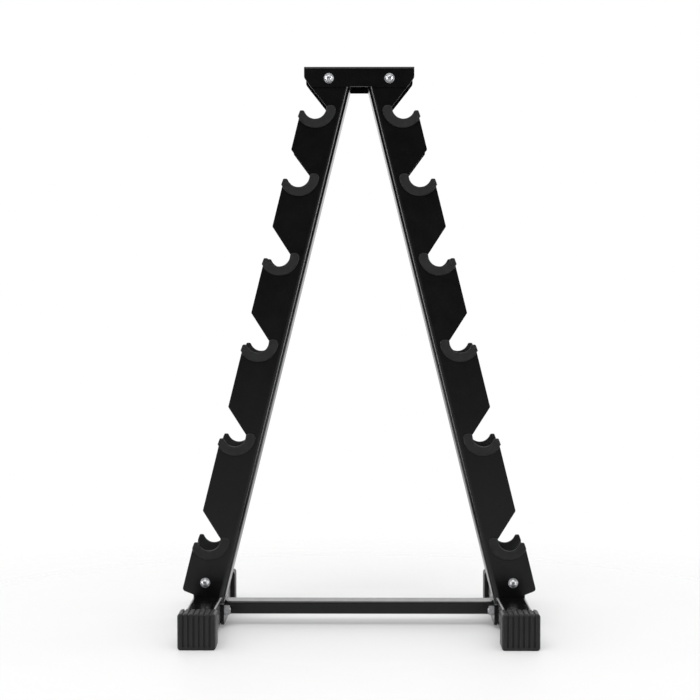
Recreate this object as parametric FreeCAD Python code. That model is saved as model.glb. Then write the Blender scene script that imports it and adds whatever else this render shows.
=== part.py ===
"""Six-tier A-frame dumbbell rack: folded steel legs with rubber-lined hooks on two base tubes."""
import FreeCAD
import Part
import math
import os

V = FreeCAD.Vector

# ---------------------------------------------------------------- driving dimensions (mm)
# Base tubes: square, front to back, one under each leg.
TUBE = 45.0
TUBE_WALL = 2.0
TUBE_R = 5.0
TUBE_X = 240.4
TUBE_LENGTH = 430.0
TUBE_Z0 = 5.0
TUBE_TOP = TUBE_Z0 + TUBE

# Push-on end caps with grip ribs on the front and top.
CAP_SIDE = 6.0
CAP_TOP = 5.0
CAP_FACE = 4.5
CAP_LENGTH = 40.0
CAP_R = 5.0
CAP_FRONT_EDGE = 2.8
RIB_PITCH = 7.95
GROOVE_WIDTH = 2.8
GROOVE_DEPTH = 1.9
GROOVES = 6

# Leg channel: front plate, inner web and back plate, open to the outside.
LEG_DEPTH = 99.0
LEG_SHEET = 2.5
LEG_BEND = 9.0
LEG_SLOPE = 0.24676
WEB_X_REF = 19.15
WEB_Z_REF = 829.5
LEG_WIDTH = 67.9
LEG_FOOT_EXTRA = 1.6
LEG_TOP = 876.0
FOOT_OUT_X = 260.6
FOOT_STEP_Z = 54.8
FOOT_CORNER_Z = 61.8

# Hooks, top to bottom: height of the cradle bottom and of the plate corner above it.
CRADLE_Z = [800.6, 694.5, 570.6, 435.4, 288.1, 124.1]
CORNER_Z = [856.4, 752.5, 632.7, 497.8, 350.6, 187.2]
CRADLE_OUT = 42.6
CRADLE_R = 17.6
NOTCH_R = 20.1
MOUTH_OUT = 24.8
MOUTH_UP = 18.9

# Moulded rubber saddles pushed over the edge of each notch.
SADDLE_R = 32.0
SADDLE_IN = 0.9
SADDLE_SIDE = 2.5
SADDLE_EDGE = 1.6
ARM_TOP = 21.0
TIP_TOP = 13.0
TIP_OVER = 1.2
LIP_OVER = 2.3
LIP_DROP = 9.5

# Inverted-U bracket over the two leg tops.
BRACKET_HALF = 85.8
BRACKET_TOP = 881.2
BRACKET_SHEET = 2.5
BRACKET_Z0 = 850.2
BRACKET_BEND = 3.2
BRACKET_CHAMFER_X = 10.4
BRACKET_CHAMFER_Z = 13.7
TOP_BOLT_X = 47.2
TOP_BOLT_Z = 863.1

# Foot brackets hidden inside the channels.
FOOT_BOLT_X = 242.0
FOOT_BOLT_Z = 73.8
FOOT_PLATE = 4.0
FOOT_X0 = 227.0
FOOT_X1 = 257.0

# Crossbar and its bolted flange plates.
BAR_DEPTH = 40.0
BAR_HEIGHT = 20.0
BAR_WALL = 2.0
BAR_Z0 = 19.0
FLANGE = 5.0
FLANGE_HALF = 45.0
FLANGE_Z0 = 5.0
FLANGE_Z1 = 43.0
FLANGE_BOLT_Y = 33.0
FLANGE_BOLT_Z = 27.5

# M8 fasteners.
SHANK_D = 8.0
HOLE_D = 9.0
HEAD_D = 14.0
HEAD_H = 4.4
SOCKET_AF = 5.0
SOCKET_DEPTH = 2.6
WASHER_D = 15.6
WASHER_T = 1.6
NUT_AF = 13.0
NUT_H = 8.0

WELD = 3.0

os.makedirs("parts", exist_ok=True)


# ---------------------------------------------------------------- helpers
def save(name, shape):
    """Write one sub-part to its own STEP file."""
    shape.exportStep("parts/" + name + ".step")


def box(x0, x1, y0, y1, z0, z1):
    """Axis-aligned block from its corner coordinates."""
    return Part.makeBox(x1 - x0, y1 - y0, z1 - z0, V(x0, y0, z0))


def rounded_box(x0, x1, y0, y1, z0, z1, radius, axis):
    """Block whose four edges along one axis are rounded."""
    block = box(x0, x1, y0, y1, z0, z1)
    edges = [e for e in block.Edges if abs(abs(e.tangentAt(e.FirstParameter).dot(axis)) - 1) < 1e-6]
    return block.makeFillet(radius, edges)


def cylinder(radius, start, end):
    """Round bar between two points."""
    way = end.sub(start)
    return Part.makeCylinder(radius, way.Length, start, way)


def hexagon(across_flats, start, end):
    """Hexagonal bar between two points."""
    way = end.sub(start)
    radius = across_flats / math.sqrt(3)
    side = V(0, 0, 1)
    other = way.normalize().cross(side)
    corners = []
    for i in range(7):
        angle = math.pi / 3 * i
        corners.append(start + side * (radius * math.cos(angle)) + other * (radius * math.sin(angle)))
    face = Part.Face(Part.makePolygon(corners))
    return face.extrude(end.sub(start))


def mirror_x(shape):
    """The same piece on the other side of the rack."""
    return shape.mirror(V(0, 0, 0), V(1, 0, 0))


def mirror_y(shape):
    """The same piece at the back of the rack."""
    return shape.mirror(V(0, 0, 0), V(0, 1, 0))


def prism(points, y0, y1):
    """Straight-sided outline in the XZ plane, extruded front to back."""
    corners = [V(x, y0, z) for x, z in points]
    face = Part.Face(Part.makePolygon(corners + [corners[0]]))
    return face.extrude(V(0, y1 - y0, 0))


def y_edges_at(shape, spots):
    """Front-to-back edges that pass through the given (x, z) spots."""
    found = []
    for edge in shape.Edges:
        a = edge.Vertexes[0].Point
        b = edge.Vertexes[-1].Point
        if abs(a.x - b.x) > 1e-4 or abs(a.z - b.z) > 1e-4 or abs(a.y - b.y) < 1.0:
            continue
        if any(math.hypot(a.x - x, a.z - z) < 0.05 for x, z in spots):
            found.append(edge)
    return found


def ends_in_y(shape, y_values):
    """Edges that lie flat in one of the given front-to-back planes."""
    found = []
    for edge in shape.Edges:
        limits = edge.BoundBox
        for y in y_values:
            if abs(limits.YMin - y) < 1e-4 and abs(limits.YMax - y) < 1e-4:
                found.append(edge)
    return found


# ---------------------------------------------------------------- legs
def web_x(z):
    """Outer face of the leg's web at a height (right-hand leg)."""
    return WEB_X_REF + (WEB_Z_REF - z) * LEG_SLOPE


def edge_x(z, row=0):
    """Outer edge of the leg's plates at a height."""
    extra = LEG_FOOT_EXTRA if row == 5 else 0.0
    return web_x(z) + LEG_WIDTH + extra


def cradle_centre(row):
    """Centre of the round seat of one hook."""
    low = CRADLE_Z[row]
    return web_x(low) + CRADLE_OUT, low + CRADLE_R


def leg_band(y0, y1):
    """Sloping strip that the plates are cut from, with the stepped foot."""
    mid = CORNER_Z[5] - 20.0
    points = [
        (web_x(LEG_TOP) - 12, LEG_TOP),
        (edge_x(LEG_TOP), LEG_TOP),
        (edge_x(mid), mid),
        (edge_x(mid, 5), mid),
        (edge_x(FOOT_CORNER_Z, 5), FOOT_CORNER_Z),
        (FOOT_OUT_X, FOOT_STEP_Z),
        (FOOT_OUT_X, TUBE_TOP),
        (web_x(TUBE_TOP) - 12, TUBE_TOP),
    ]
    band = prism(points, y0, y1)
    corner = y_edges_at(band, [(edge_x(FOOT_CORNER_Z, 5), FOOT_CORNER_Z)])
    return band.makeFillet(5.0, corner)


def notch_cutter(row, y0, y1):
    """Sloping mouth and round seat cut into the plates for one hook."""
    cx, cz = cradle_centre(row)
    low = CRADLE_Z[row]
    tip = low + TIP_TOP - SADDLE_SIDE
    corner = CORNER_Z[row]
    inner_x = web_x(low) + MOUTH_OUT
    inner_z = low + MOUTH_UP
    slope_x = edge_x(corner) - inner_x
    slope_z = corner - inner_z
    points = [
        (cx - NOTCH_R, cz - 5),
        (cx - NOTCH_R, inner_z),
        (inner_x, inner_z),
        (inner_x + 2.2 * slope_x, inner_z + 2.2 * slope_z),
        (edge_x(tip) + 40, tip),
        (cx, tip),
    ]
    mouth = prism(points, y0, y1)
    seat = cylinder(NOTCH_R, V(cx, y0, cz), V(cx, y1, cz))
    below = box(cx - 40, cx + 40, y0, y1, cz - 40, cz)
    left = box(cx - NOTCH_R - 5, cx, y0, y1, cz - 6, cz)
    return mouth.cut(left).fuse(seat.common(below))


def leg_outline(y0, y1):
    """Full side outline of a leg plate between two front-to-back planes."""
    outline = leg_band(y0, y1)
    for row in range(6):
        outline = outline.cut(notch_cutter(row, y0 - 5, y1 + 5))
    outline = outline.removeSplitter()
    corners = []
    tips = []
    for row in range(6):
        cx, cz = cradle_centre(row)
        tip = CRADLE_Z[row] + TIP_TOP - SADDLE_SIDE
        reach = math.sqrt(NOTCH_R ** 2 - (cz - tip) ** 2)
        corners.append((edge_x(CORNER_Z[row]), CORNER_Z[row]))
        tips.append((cx + reach, tip))
        tips.append((edge_x(tip, row), tip))
    outline = outline.makeFillet(3.0, y_edges_at(outline, corners))
    return outline.makeFillet(1.4, y_edges_at(outline, tips))


def channel_bar():
    """Folded channel section swept along the leaning leg."""
    angle = math.atan(LEG_SLOPE)
    along = V(math.sin(angle), 0, -math.cos(angle))
    across = V(math.cos(angle), 0, math.sin(angle))
    start = V(web_x(LEG_TOP + 40), 0, LEG_TOP + 40)
    half = LEG_DEPTH / 2

    def ring(inset, radius, reach):
        r = radius
        y = half - inset
        p = [
            (reach, -y),
            (inset + r, -y),
            (inset + r * (1 - math.sqrt(0.5)), -y + r * (1 - math.sqrt(0.5))),
            (inset, -y + r),
            (inset, y - r),
            (inset + r * (1 - math.sqrt(0.5)), y - r * (1 - math.sqrt(0.5))),
            (inset + r, y),
            (reach, y),
        ]
        q = [start + across * u + V(0, w, 0) for u, w in p]
        edges = [
            Part.makeLine(q[0], q[1]),
            Part.Arc(q[1], q[2], q[3]).toShape(),
            Part.makeLine(q[3], q[4]),
            Part.Arc(q[4], q[5], q[6]).toShape(),
            Part.makeLine(q[6], q[7]),
            Part.makeLine(q[7], q[0]),
        ]
        return Part.Face(Part.Wire(edges)).extrude(along * 1000.0)

    outer = ring(0.0, LEG_BEND, 90.0)
    inner = ring(LEG_SHEET, LEG_BEND - LEG_SHEET, 100.0)
    return outer.cut(inner)


def right_leg():
    """One folded leg with its hooks and bolt holes."""
    leg = channel_bar().common(leg_outline(-60.0, 60.0))
    for x, z in ((TOP_BOLT_X, TOP_BOLT_Z), (FOOT_BOLT_X, FOOT_BOLT_Z)):
        leg = leg.cut(cylinder(HOLE_D / 2, V(x, -60, z), V(x, 60, z)))
    return leg.removeSplitter()


# ---------------------------------------------------------------- saddles
def saddle_blank(row, y0, y1):
    """Moulded U before the groove for the plate is taken out."""
    cx, cz = cradle_centre(row)
    ring_x = cx - SADDLE_IN
    low = CRADLE_Z[row]
    top = low + ARM_TOP
    tip = low + TIP_TOP
    ring = cylinder(SADDLE_R, V(ring_x, y0, cz), V(ring_x, y1, cz))
    arm = box(ring_x - SADDLE_R, cx, y0, y1, cz, top)
    ring = ring.common(box(cx - 40, cx + 40, y0, y1, cz - 40, cz)).fuse(arm)
    ring = ring.cut(cylinder(CRADLE_R, V(cx, y0 - 1, cz), V(cx, y1 + 1, cz)))
    ring = ring.cut(box(cx - CRADLE_R, cx + 40, y0 - 1, y1 + 1, cz, cz + 60))
    lip_z = tip - LIP_DROP
    tip_x = edge_x(tip) + TIP_OVER
    lip_x = edge_x(lip_z) + LIP_OVER
    step_z = lip_z - LIP_OVER
    keep = [
        (cx - 60, low - 40),
        (edge_x(low - 40), low - 40),
        (edge_x(step_z), step_z),
        (lip_x, lip_z),
        (tip_x, tip),
        (cx, tip),
        (cx, low + 60),
        (cx - 60, low + 60),
    ]
    blank = ring.common(prism(keep, y0, y1)).removeSplitter()
    reach = math.sqrt(CRADLE_R ** 2 - (cz - tip) ** 2)
    blank = blank.makeFillet(7.0, y_edges_at(blank, [(ring_x - SADDLE_R, top)]))
    blank = blank.makeFillet(4.6, y_edges_at(blank, [(cx - CRADLE_R, top)]))
    blank = blank.makeFillet(3.2, y_edges_at(blank, [(cx + reach, tip)]))
    blank = blank.makeFillet(2.0, y_edges_at(blank, [(tip_x, tip)]))
    blank = blank.makeFillet(1.0, y_edges_at(blank, [(lip_x, lip_z)]))
    return blank.makeFillet(SADDLE_EDGE, ends_in_y(blank, (y0, y1)))


def saddle(row):
    """Rubber saddle on the front plate of the right-hand leg."""
    plate_front = -LEG_DEPTH / 2
    plate_back = plate_front + LEG_SHEET
    blank = saddle_blank(row, plate_front - SADDLE_SIDE, plate_back + SADDLE_SIDE)
    return blank.cut(leg_outline(plate_front, plate_back))


# ---------------------------------------------------------------- top bracket
def top_bracket():
    """Inverted-U bracket that ties the two legs together."""
    half = LEG_DEPTH / 2 + BRACKET_SHEET
    top = BRACKET_TOP
    outer = box(-BRACKET_HALF, BRACKET_HALF, -half, half, BRACKET_Z0, top)
    along = [e for e in outer.Edges if abs(e.tangentAt(0).x) > 0.99 and e.CenterOfMass.z > top - 1]
    outer = outer.makeFillet(BRACKET_BEND, along)
    inside = half - BRACKET_SHEET
    inner = box(-100, 100, -inside, inside, BRACKET_Z0 - 30, top - BRACKET_SHEET)
    along = [e for e in inner.Edges if abs(e.tangentAt(0).x) > 0.99 and e.CenterOfMass.z > top - 9]
    inner = inner.makeFillet(BRACKET_BEND - BRACKET_SHEET, along)
    shape = outer.cut(inner)
    low = BRACKET_Z0
    side = [
        (-BRACKET_HALF, top + 5),
        (-BRACKET_HALF, low + BRACKET_CHAMFER_Z),
        (-BRACKET_HALF + BRACKET_CHAMFER_X, low),
        (BRACKET_HALF - BRACKET_CHAMFER_X, low),
        (BRACKET_HALF, low + BRACKET_CHAMFER_Z),
        (BRACKET_HALF, top + 5),
    ]
    trim = prism(side, -60, 60)
    trim = trim.makeFillet(8.0, y_edges_at(trim, [side[1], side[4]]))
    trim = trim.makeFillet(1.5, y_edges_at(trim, side[2:4]))
    shape = shape.common(trim)
    for x in (-TOP_BOLT_X, TOP_BOLT_X):
        shape = shape.cut(cylinder(HOLE_D / 2, V(x, -60, TOP_BOLT_Z), V(x, 60, TOP_BOLT_Z)))
    return shape


# ---------------------------------------------------------------- base
def base_tube():
    """Right-hand square tube with its two bolt holes through the sides."""
    y = TUBE_LENGTH / 2
    x0 = TUBE_X - TUBE / 2
    x1 = TUBE_X + TUBE / 2
    z0 = TUBE_Z0
    z1 = TUBE_TOP
    w = TUBE_WALL
    tube = rounded_box(x0, x1, -y, y, z0, z1, TUBE_R, V(0, 1, 0))
    bore = rounded_box(x0 + w, x1 - w, -y - 1, y + 1, z0 + w, z1 - w, TUBE_R - w, V(0, 1, 0))
    tube = tube.cut(bore)
    for s in (-1, 1):
        start = V(x0 - 5, s * FLANGE_BOLT_Y, FLANGE_BOLT_Z)
        tube = tube.cut(cylinder(HOLE_D / 2, start, start + V(TUBE + 10, 0, 0)))
    return tube


def end_cap():
    """Right-hand front cap: wraps round the tube end, ribbed on the front and top."""
    half = TUBE / 2 + CAP_SIDE
    front = -TUBE_LENGTH / 2 - CAP_FACE
    back = front + CAP_LENGTH
    x0 = TUBE_X - half
    x1 = TUBE_X + half
    z1 = TUBE_TOP + CAP_TOP
    block = rounded_box(x0, x1, front, back, 0, z1, CAP_R, V(0, 1, 0))
    block = block.makeFillet(CAP_FRONT_EDGE, ends_in_y(block, (front,)))
    block = block.makeFillet(0.8, ends_in_y(block, (back,)))
    d = GROOVE_DEPTH
    core = box(x0 - 1, x1 + 1, front + d, back + 2, -1, z1 - d)
    bend = V(TUBE_X, front + d, z1 - d)
    edge = [e for e in core.Edges if e.CenterOfMass.sub(bend).Length < 0.01]
    core = core.makeFillet(CAP_FRONT_EDGE, edge)
    for i in range(GROOVES):
        x = TUBE_X + (i - (GROOVES - 1) / 2) * RIB_PITCH
        w = GROOVE_WIDTH / 2
        strip = box(x - w, x + w, front - 1, back + 1, 5.0, z1 + 1)
        block = block.cut(strip.cut(core))
    x0 = TUBE_X - TUBE / 2
    x1 = TUBE_X + TUBE / 2
    socket = rounded_box(x0, x1, front + CAP_FACE, back + 5, TUBE_Z0, TUBE_TOP, TUBE_R, V(0, 1, 0))
    return block.cut(socket)


def foot_bracket():
    """Right-hand U bracket on the tube that the leg is bolted to."""
    y = LEG_DEPTH / 2 - LEG_SHEET
    z0 = TUBE_TOP
    t = FOOT_PLATE
    solid = box(FOOT_X0, FOOT_X1, -y, y, z0, FOOT_BOLT_Z + 15.0)
    tops = [e for e in solid.Edges if abs(e.tangentAt(0).y) > 0.99 and e.CenterOfMass.z > z0 + 5]
    solid = solid.makeFillet(12.0, tops)
    solid = solid.cut(box(FOOT_X0 - 1, FOOT_X1 + 1, -y + t, y - t, z0 + t, z0 + 80))
    hole = cylinder(HOLE_D / 2, V(FOOT_BOLT_X, -60, FOOT_BOLT_Z), V(FOOT_BOLT_X, 60, FOOT_BOLT_Z))
    return solid.cut(hole)


def crossbar():
    """Flat rectangular tube that ties the two base tubes."""
    x = TUBE_X - TUBE / 2 - FLANGE
    y = BAR_DEPTH / 2
    z0 = BAR_Z0
    z1 = BAR_Z0 + BAR_HEIGHT
    w = BAR_WALL
    bar = rounded_box(-x, x, -y, y, z0, z1, 3.0, V(1, 0, 0))
    bore = rounded_box(-x - 1, x + 1, -y + w, y - w, z0 + w, z1 - w, 1.2, V(1, 0, 0))
    return bar.cut(bore)


def crossbar_flange():
    """Right-hand end plate of the crossbar."""
    x1 = TUBE_X - TUBE / 2
    x0 = x1 - FLANGE
    y = FLANGE_HALF
    plate = rounded_box(x0, x1, -y, y, FLANGE_Z0, FLANGE_Z1, 8.0, V(1, 0, 0))
    plate = plate.makeFillet(0.6, plate.Faces[0].OuterWire.Edges)
    for s in (-1, 1):
        start = V(x0 - 2, s * FLANGE_BOLT_Y, FLANGE_BOLT_Z)
        plate = plate.cut(cylinder(HOLE_D / 2, start, start + V(FLANGE + 4, 0, 0)))
    return plate


def weld_strip(start, end, side_a, side_b):
    """Triangular fillet weld between two faces."""
    corners = [start, start + side_a * WELD, start + side_b * WELD, start]
    return Part.Face(Part.makePolygon(corners)).extrude(end.sub(start))


def crossbar_welds():
    """Welds round both ends of the crossbar."""
    x = TUBE_X - TUBE / 2 - FLANGE
    y = BAR_DEPTH / 2
    z0 = BAR_Z0
    z1 = BAR_Z0 + BAR_HEIGHT
    strips = [
        weld_strip(V(x, -y + 4, z1), V(x, y - 4, z1), V(-1, 0, 0), V(0, 0, 1)),
        weld_strip(V(x, -y + 4, z0), V(x, y - 4, z0), V(-1, 0, 0), V(0, 0, -1)),
        weld_strip(V(x, -y, z0 + 4), V(x, -y, z1 - 4), V(-1, 0, 0), V(0, -1, 0)),
        weld_strip(V(x, y, z0 + 4), V(x, y, z1 - 4), V(-1, 0, 0), V(0, 1, 0)),
    ]
    return Part.makeCompound(strips + [mirror_x(s) for s in strips])


def foot_welds():
    """Welds along both sides of the foot brackets."""
    z = TUBE_TOP
    strips = [
        weld_strip(V(FOOT_X0, -30, z), V(FOOT_X0, 30, z), V(-1, 0, 0), V(0, 0, 1)),
        weld_strip(V(FOOT_X1, -30, z), V(FOOT_X1, 30, z), V(1, 0, 0), V(0, 0, 1)),
    ]
    return Part.makeCompound(strips + [mirror_x(s) for s in strips])


# ---------------------------------------------------------------- fasteners
def washer(at, way):
    """Flat washer that starts at a point and runs along a direction."""
    end = at + way * WASHER_T
    return cylinder(WASHER_D / 2, at, end).cut(cylinder(HOLE_D / 2 - 0.3, at - way, end + way))


def nut(at, way):
    """Hexagon nut with softened corners."""
    end = at + way * NUT_H
    blank = hexagon(NUT_AF, at, end)
    half = NUT_H / 2
    narrow = NUT_AF / 2 + 0.45
    wide = narrow + half
    lower = Part.makeCone(narrow, wide, half, at, way)
    upper = Part.makeCone(wide, narrow, half, at + way * half, way)
    blank = blank.common(lower.fuse(upper))
    return blank.cut(cylinder(SHANK_D / 2, at - way, end + way))


def button_bolt(at, way, length):
    """Button-head bolt: the head sits outside the point, the shank runs along the direction."""
    crown = Part.makeSphere(HEAD_D / 2 + 0.9, at + way * (HEAD_D / 2 + 0.9 - HEAD_H))
    head = cylinder(HEAD_D / 2, at - way * HEAD_H, at).common(crown)
    shank = cylinder(SHANK_D / 2, at - way * 1.0, at + way * length)
    bolt = head.fuse(shank).removeSplitter()
    top = at - way * (HEAD_H + 1)
    return bolt.cut(hexagon(SOCKET_AF, top, top + way * (SOCKET_DEPTH + 1)))


def group(shapes):
    """Several loose solids kept as one sub-part."""
    return Part.makeCompound(shapes)


def four(shape):
    """A piece repeated on both sides and at the front and back."""
    other = mirror_x(shape)
    return group([shape, other, mirror_y(shape), mirror_y(other)])


def joint_set(name, x, y_face, z, nut_gap, length):
    """Front-to-back bolts, washers and nuts of one row of joints."""
    way = V(0, 1, 0)
    at = V(x, y_face, z)
    save(name + "_washers", four(washer(at, way)))
    save(name + "_bolts", four(button_bolt(at, way, length)))
    save(name + "_nuts", four(nut(V(x, y_face + nut_gap, z), way)))


def crossbar_fasteners():
    """Bolts across the base tubes that hold the crossbar flanges."""
    outside = TUBE_X + TUBE / 2 + WASHER_T
    inside = TUBE_X - TUBE / 2 - FLANGE
    y = -FLANGE_BOLT_Y
    z = FLANGE_BOLT_Z
    way = V(-1, 0, 0)
    save("crossbar_washers", four(washer(V(outside, y, z), way)))
    length = outside - inside + NUT_H + 1.5
    save("crossbar_bolts", four(button_bolt(V(outside, y, z), way, length)))
    save("crossbar_nuts", four(nut(V(inside, y, z), way)))


def main():
    leg = right_leg()
    save("right_leg_channel", leg)
    save("left_leg_channel", mirror_x(leg))
    for row in range(6):
        piece = saddle(row)
        number = str(row + 1)
        save("saddle_right_front_" + number, piece)
        save("saddle_left_front_" + number, mirror_x(piece))
        save("saddle_right_back_" + number, mirror_y(piece))
        save("saddle_left_back_" + number, mirror_x(mirror_y(piece)))
    save("top_bracket", top_bracket())
    tube = base_tube()
    save("right_base_tube", tube)
    save("left_base_tube", mirror_x(tube))
    cap = end_cap()
    save("right_front_end_cap", cap)
    save("left_front_end_cap", mirror_x(cap))
    save("right_back_end_cap", mirror_y(cap))
    save("left_back_end_cap", mirror_x(mirror_y(cap)))
    foot = foot_bracket()
    save("right_foot_bracket", foot)
    save("left_foot_bracket", mirror_x(foot))
    save("crossbar", crossbar())
    flange = crossbar_flange()
    save("right_crossbar_flange", flange)
    save("left_crossbar_flange", mirror_x(flange))
    save("crossbar_welds", crossbar_welds())
    save("foot_welds", foot_welds())
    plate_gap = WASHER_T + BRACKET_SHEET + LEG_SHEET
    top_face = -LEG_DEPTH / 2 - BRACKET_SHEET - WASHER_T
    joint_set("top", TOP_BOLT_X, top_face, TOP_BOLT_Z, plate_gap, 16.0)
    foot_gap = WASHER_T + LEG_SHEET + FOOT_PLATE
    foot_face = -LEG_DEPTH / 2 - WASHER_T
    joint_set("foot", FOOT_BOLT_X, foot_face, FOOT_BOLT_Z, foot_gap, 16.0)
    crossbar_fasteners()


main()
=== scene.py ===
"""Dumbbell rack: materials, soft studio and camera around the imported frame."""

import math

import bpy
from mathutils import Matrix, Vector

# Camera: a long lens a little under three metres in front, looking slightly down and left.
SENSOR_MM = 36.0
LENS_MM = 93.31
CAMERA_AT = (0.00965, -2.8874, 0.5355)
CAMERA_YAW = math.radians(0.483)
CAMERA_PITCH = math.radians(1.929)

# Floor disc, in metres: partly see-through near the rack, where the white behind it is painted light
# lifting its shadows; quite clear at its fade's end.
FLOOR_RADIUS = 3.6
FADE_START = 0.32
FADE_END = 1.0
# Least see-through share: painted light that lifts the floor's shadows near the rack.
FADE_LEAST_SHADOW_LIFT = 0.18

# Key light in front and above, and how bright the boxes look in reflections.
KEY_AT = (-0.4, -4.0, 5.2)
KEY_AIM = (0, 0, 0.1)
KEY_SIZE = (4.4, 3.4)
KEY_WATTS = 210
BOX_GLOW = 2.5
STRIP_GLOW = 11.0

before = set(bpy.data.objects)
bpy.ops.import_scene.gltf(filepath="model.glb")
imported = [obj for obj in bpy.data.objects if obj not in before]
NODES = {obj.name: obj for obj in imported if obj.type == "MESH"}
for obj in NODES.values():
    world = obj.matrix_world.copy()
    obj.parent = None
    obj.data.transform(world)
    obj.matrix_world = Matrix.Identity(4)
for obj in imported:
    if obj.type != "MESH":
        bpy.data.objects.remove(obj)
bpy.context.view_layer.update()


# ---------------------------------------------------------------- node helpers
class Mat:
    """Small wrapper that builds one procedural material."""

    def __init__(self, name):
        self.m = bpy.data.materials.new(name)
        self.m.use_nodes = True
        self.t = self.m.node_tree
        self.t.nodes.clear()
        self.out = self.t.nodes.new("ShaderNodeOutputMaterial")
        self.bsdf = self.t.nodes.new("ShaderNodeBsdfPrincipled")
        self.link(self.bsdf.outputs[0], self.out.inputs[0])
        tc = self.t.nodes.new("ShaderNodeTexCoord")
        self.pos = tc.outputs["Object"]

    def link(self, a, b):
        self.t.links.new(a, b)

    def set(self, **values):
        for key, value in values.items():
            self.bsdf.inputs[key.replace("_", " ")].default_value = value

    def noise(self, scale, detail, rough):
        n = self.t.nodes.new("ShaderNodeTexNoise")
        n.inputs["Scale"].default_value = scale
        n.inputs["Detail"].default_value = detail
        n.inputs["Roughness"].default_value = rough
        self.link(self.pos, n.inputs["Vector"])
        return n.outputs["Fac"]

    def painted_occlusion(self, distance):
        """How open a point is, used as painted shade: low in grooves, one on plain faces."""
        n = self.t.nodes.new("ShaderNodeAmbientOcclusion")
        n.inputs["Distance"].default_value = distance
        return n.outputs["AO"]

    def range(self, value, a, b, c, d):
        n = self.t.nodes.new("ShaderNodeMapRange")
        for i, v in enumerate((a, b, c, d)):
            n.inputs[i + 1].default_value = v
        self.link(value, n.inputs[0])
        return n.outputs[0]

    def math(self, op, a, b):
        n = self.t.nodes.new("ShaderNodeMath")
        n.operation = op
        for i, v in enumerate((a, b)):
            if isinstance(v, (int, float)):
                n.inputs[i].default_value = v
            else:
                self.link(v, n.inputs[i])
        return n.outputs[0]

    def mix(self, fac, a, b):
        n = self.t.nodes.new("ShaderNodeMix")
        n.data_type = "RGBA"
        n.inputs[6].default_value = (*a, 1)
        n.inputs[7].default_value = (*b, 1)
        self.link(fac, n.inputs[0])
        return n.outputs[2]

    def bump(self, height, strength, distance):
        n = self.t.nodes.new("ShaderNodeBump")
        n.inputs["Strength"].default_value = strength
        n.inputs["Distance"].default_value = distance
        self.link(height, n.inputs["Height"])
        return n.outputs[0]

    def use(self, colour=None, rough=None, normal=None):
        if colour:
            self.link(colour, self.bsdf.inputs["Base Color"])
        if rough:
            self.link(rough, self.bsdf.inputs["Roughness"])
        if normal:
            self.link(normal, self.bsdf.inputs["Normal"])
        return self.m


# ---------------------------------------------------------------- materials
def powder_coat():
    """Semi-gloss black powder coat: faint orange peel and slow gloss changes."""
    m = Mat("black_powder_coat")
    m.set(Metallic=0.0, IOR=1.38)
    slow = m.noise(9.0, 3.0, 0.6)
    fine = m.noise(650.0, 2.0, 0.5)
    colour = m.mix(m.range(slow, 0.35, 0.65, 0.0, 1.0), (0.0024, 0.0024, 0.0026), (0.0036, 0.0036, 0.0039))
    rough = m.range(m.noise(55.0, 4.0, 0.6), 0.3, 0.7, 0.19, 0.25)
    peel = m.bump(fine, 0.06, 0.0003)
    return m.use(colour, rough, peel)


def rubber():
    """Dark grey moulded rubber with a fine matt grain."""
    m = Mat("saddle_rubber")
    m.set(Metallic=0.0, IOR=1.36)
    slow = m.noise(60.0, 4.0, 0.65)
    grain = m.noise(2600.0, 3.0, 0.6)
    colour = m.mix(m.range(slow, 0.3, 0.7, 0.0, 1.0), (0.0082, 0.0082, 0.0085), (0.0135, 0.0135, 0.0139))
    rough = m.range(grain, 0.3, 0.7, 0.5, 0.66)
    return m.use(colour, rough, m.bump(grain, 0.25, 0.0002))


def cap_plastic():
    """Black moulded end-cap plastic with a soft sheen, and painted shade darkening its rib grooves."""
    m = Mat("cap_plastic")
    m.set(Metallic=0.0, IOR=1.42)
    slow = m.noise(40.0, 4.0, 0.6)
    grain = m.noise(1500.0, 2.0, 0.6)
    # Painted shade: ambient occlusion darkens the colour in the rib grooves, mixed with a random tone.
    painted_groove_shade = m.range(m.painted_occlusion(0.004), 0.35, 0.9, 0.0, 1.0)
    tone_and_groove_shade = m.math("MULTIPLY", m.range(slow, 0.3, 0.7, 0.7, 1.0), painted_groove_shade)
    colour = m.mix(tone_and_groove_shade, (0.0008, 0.0008, 0.0008), (0.0125, 0.0125, 0.0128))
    rough = m.range(slow, 0.3, 0.7, 0.42, 0.52)
    return m.use(colour, rough, m.bump(grain, 0.15, 0.0002))


def zinc():
    """Satin zinc plating with fine handling marks."""
    m = Mat("bright_zinc")
    m.set(Metallic=1.0)
    blotch = m.noise(420.0, 4.0, 0.6)
    colour = m.mix(m.range(blotch, 0.3, 0.7, 0.0, 1.0), (0.48, 0.49, 0.51), (0.61, 0.61, 0.62))
    rough = m.range(m.noise(900.0, 3.0, 0.6), 0.3, 0.7, 0.40, 0.52)
    return m.use(colour, rough, m.bump(m.noise(2200.0, 2.0, 0.5), 0.06, 0.0001))


def weld_paint():
    """The same coat over a rippled weld bead."""
    m = Mat("painted_weld")
    m.set(Metallic=0.0, IOR=1.5)
    ripple = m.noise(420.0, 2.0, 0.4)
    colour = m.mix(m.range(ripple, 0.3, 0.7, 0.0, 1.0), (0.0045, 0.0045, 0.005), (0.0075, 0.0075, 0.008))
    rough = m.range(ripple, 0.3, 0.7, 0.3, 0.45)
    return m.use(colour, rough, m.bump(ripple, 0.6, 0.0009))


PAINT = powder_coat()
RUBBER = rubber()
CAP = cap_plastic()
ZINC = zinc()
WELD = weld_paint()


def material_for(name):
    """The finish of a CAD node, from its name."""
    if name.startswith("saddle_"):
        return RUBBER
    if name.endswith("_end_cap"):
        return CAP
    if name.endswith(("_bolts", "_washers", "_nuts")):
        return ZINC
    if name.endswith("_welds"):
        return WELD
    return PAINT


for name, obj in NODES.items():
    obj.data.materials.clear()
    obj.data.materials.append(material_for(name))


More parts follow.
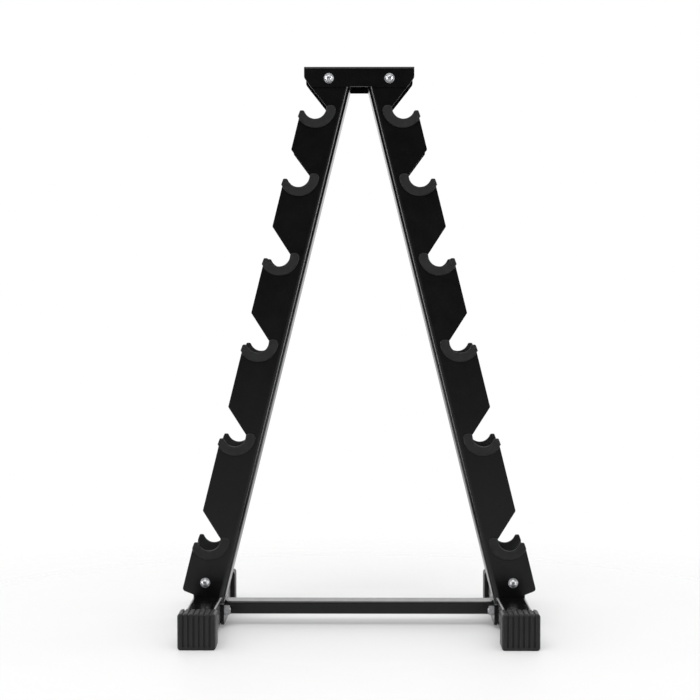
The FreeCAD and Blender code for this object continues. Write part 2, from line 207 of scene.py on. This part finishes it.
# ---------------------------------------------------------------- floor and light
def floor_material():
    """Pale studio floor that melts into the white surroundings, and lets that white through near the rack
    as painted light lifting its shadows.
    """
    m = Mat("studio_floor")
    m.set(Roughness=0.55)
    grain = m.noise(3.0, 3.0, 0.5)
    colour = m.mix(m.range(grain, 0.3, 0.7, 0.0, 1.0), (0.79, 0.79, 0.79), (0.81, 0.81, 0.81))
    m.use(colour)
    clear = m.t.nodes.new("ShaderNodeBsdfTransparent")
    mixer = m.t.nodes.new("ShaderNodeMixShader")
    length = m.t.nodes.new("ShaderNodeVectorMath")
    length.operation = "LENGTH"
    m.link(m.pos, length.inputs[0])
    # Painted light: the floor is never less than partly see-through, so the white background brightens its
    # shadows.
    see_through_lift = m.range(length.outputs["Value"], FADE_START, FADE_END, FADE_LEAST_SHADOW_LIFT, 1.0)
    m.link(see_through_lift, mixer.inputs[0])
    m.link(m.bsdf.outputs[0], mixer.inputs[1])
    m.link(clear.outputs[0], mixer.inputs[2])
    m.link(mixer.outputs[0], m.out.inputs[0])
    return m.m


def make_floor():
    mesh = bpy.data.meshes.new("floor")
    n = 96
    r = FLOOR_RADIUS
    turns = [2 * math.pi * i / n for i in range(n)]
    ring = [(r * math.cos(a), r * math.sin(a), 0.0) for a in turns]
    mesh.from_pydata(ring, [], [list(range(n))])
    obj = bpy.data.objects.new("floor", mesh)
    bpy.context.scene.collection.objects.link(obj)
    mesh.materials.append(floor_material())


def area(name, at, aim, size, power):
    data = bpy.data.lights.new(name, "AREA")
    data.shape = "RECTANGLE"
    data.size, data.size_y = size
    data.energy = power
    obj = bpy.data.objects.new(name, data)
    obj.location = at
    obj.rotation_euler = (Vector(aim) - Vector(at)).to_track_quat("-Z", "Y").to_euler()
    bpy.context.scene.collection.objects.link(obj)


class Sky:
    """World nodes: everything is a function of the ray's direction."""

    def __init__(self):
        world = bpy.data.worlds.new("studio")
        bpy.context.scene.world = world
        world.use_nodes = True
        self.t = world.node_tree
        self.t.nodes.clear()
        tc = self.t.nodes.new("ShaderNodeTexCoord")
        sep = self.t.nodes.new("ShaderNodeSeparateXYZ")
        self.t.links.new(tc.outputs["Generated"], sep.inputs[0])
        self.x, self.y, self.z = sep.outputs
        self.side = self.math("ABSOLUTE", self.x, 0.0)
        self.path = self.t.nodes.new("ShaderNodeLightPath")

    def math(self, op, a, b):
        n = self.t.nodes.new("ShaderNodeMath")
        n.operation = op
        for i, v in enumerate((a, b)):
            if isinstance(v, (int, float)):
                n.inputs[i].default_value = v
            else:
                self.t.links.new(v, n.inputs[i])
        return n.outputs[0]

    def product(self, a, b):
        return self.math("MULTIPLY", a, b)

    def level(self, value, low, high, start, end):
        """Smooth step of a value between two levels."""
        n = self.t.nodes.new("ShaderNodeMapRange")
        n.interpolation_type = "SMOOTHSTEP"
        for i, v in enumerate((low, high, start, end)):
            n.inputs[i + 1].default_value = v
        self.t.links.new(value, n.inputs[0])
        return n.outputs[0]

    def band(self, value, a, b, c, d):
        """One between b and c, fading to nothing at a and d."""
        return self.product(self.level(value, a, b, 0, 1), self.level(value, c, d, 1, 0))

    def background(self, strength):
        n = self.t.nodes.new("ShaderNodeBackground")
        n.inputs[0].default_value = (1, 1, 1, 1)
        if isinstance(strength, float):
            n.inputs[1].default_value = strength
        else:
            self.t.links.new(strength, n.inputs[1])
        return n.outputs[0]

    def choose(self, switch, off, on):
        n = self.t.nodes.new("ShaderNodeMixShader")
        self.t.links.new(self.path.outputs[switch], n.inputs[0])
        self.t.links.new(off, n.inputs[1])
        self.t.links.new(on, n.inputs[2])
        return n.outputs[0]


def make_world():
    """White to the eye, an even dome for light, and soft boxes round a dark front for gloss."""
    sky = Sky()
    behind = sky.level(sky.y, -0.2, 0.15, 0.03, 1.0)
    far = sky.product(behind, sky.level(sky.z, -0.15, 0.15, 0.65, 1.25))
    beside = sky.band(sky.y, 0.0, 0.15, 0.35, 0.5)
    boxes = sky.product(beside, sky.band(sky.z, -0.5, -0.3, 0.35, 0.6))
    oblique = sky.band(sky.side, 0.80, 0.84, 0.88, 0.92)
    strips = sky.product(oblique, sky.level(sky.y, -0.3, -0.1, 1, 0))
    strips = sky.product(strips, sky.band(sky.z, -0.45, -0.3, 0.4, 0.6))
    front = sky.level(sky.y, -0.4, -0.2, 1, 0)
    low = sky.product(sky.level(sky.z, -0.125, -0.045, 0.74, 0.0), front)
    gloss = sky.math("ADD", far, sky.product(boxes, BOX_GLOW))
    gloss = sky.math("ADD", gloss, sky.product(strips, STRIP_GLOW))
    gloss = sky.math("ADD", gloss, low)
    dome = sky.background(sky.level(sky.z, -0.1, 0.9, 0.5, 0.95))
    light = sky.choose("Is Glossy Ray", dome, sky.background(gloss))
    out = sky.t.nodes.new("ShaderNodeOutputWorld")
    sky.t.links.new(sky.choose("Is Camera Ray", light, sky.background(1.0)), out.inputs[0])


def make_camera():
    data = bpy.data.cameras.new("camera")
    data.sensor_width = SENSOR_MM
    data.lens = LENS_MM
    data.clip_start = 0.05
    data.clip_end = 60
    cam = bpy.data.objects.new("camera", data)
    cam.location = CAMERA_AT
    flat = math.cos(CAMERA_PITCH)
    look = (-math.sin(CAMERA_YAW) * flat, math.cos(CAMERA_YAW) * flat, -math.sin(CAMERA_PITCH))
    cam.rotation_euler = Vector(look).to_track_quat("-Z", "Y").to_euler()
    bpy.context.scene.collection.objects.link(cam)
    bpy.context.scene.camera = cam


make_floor()
make_world()
make_camera()
area("key", KEY_AT, KEY_AIM, KEY_SIZE, KEY_WATTS)
bpy.context.scene.view_settings.view_transform = "Standard"
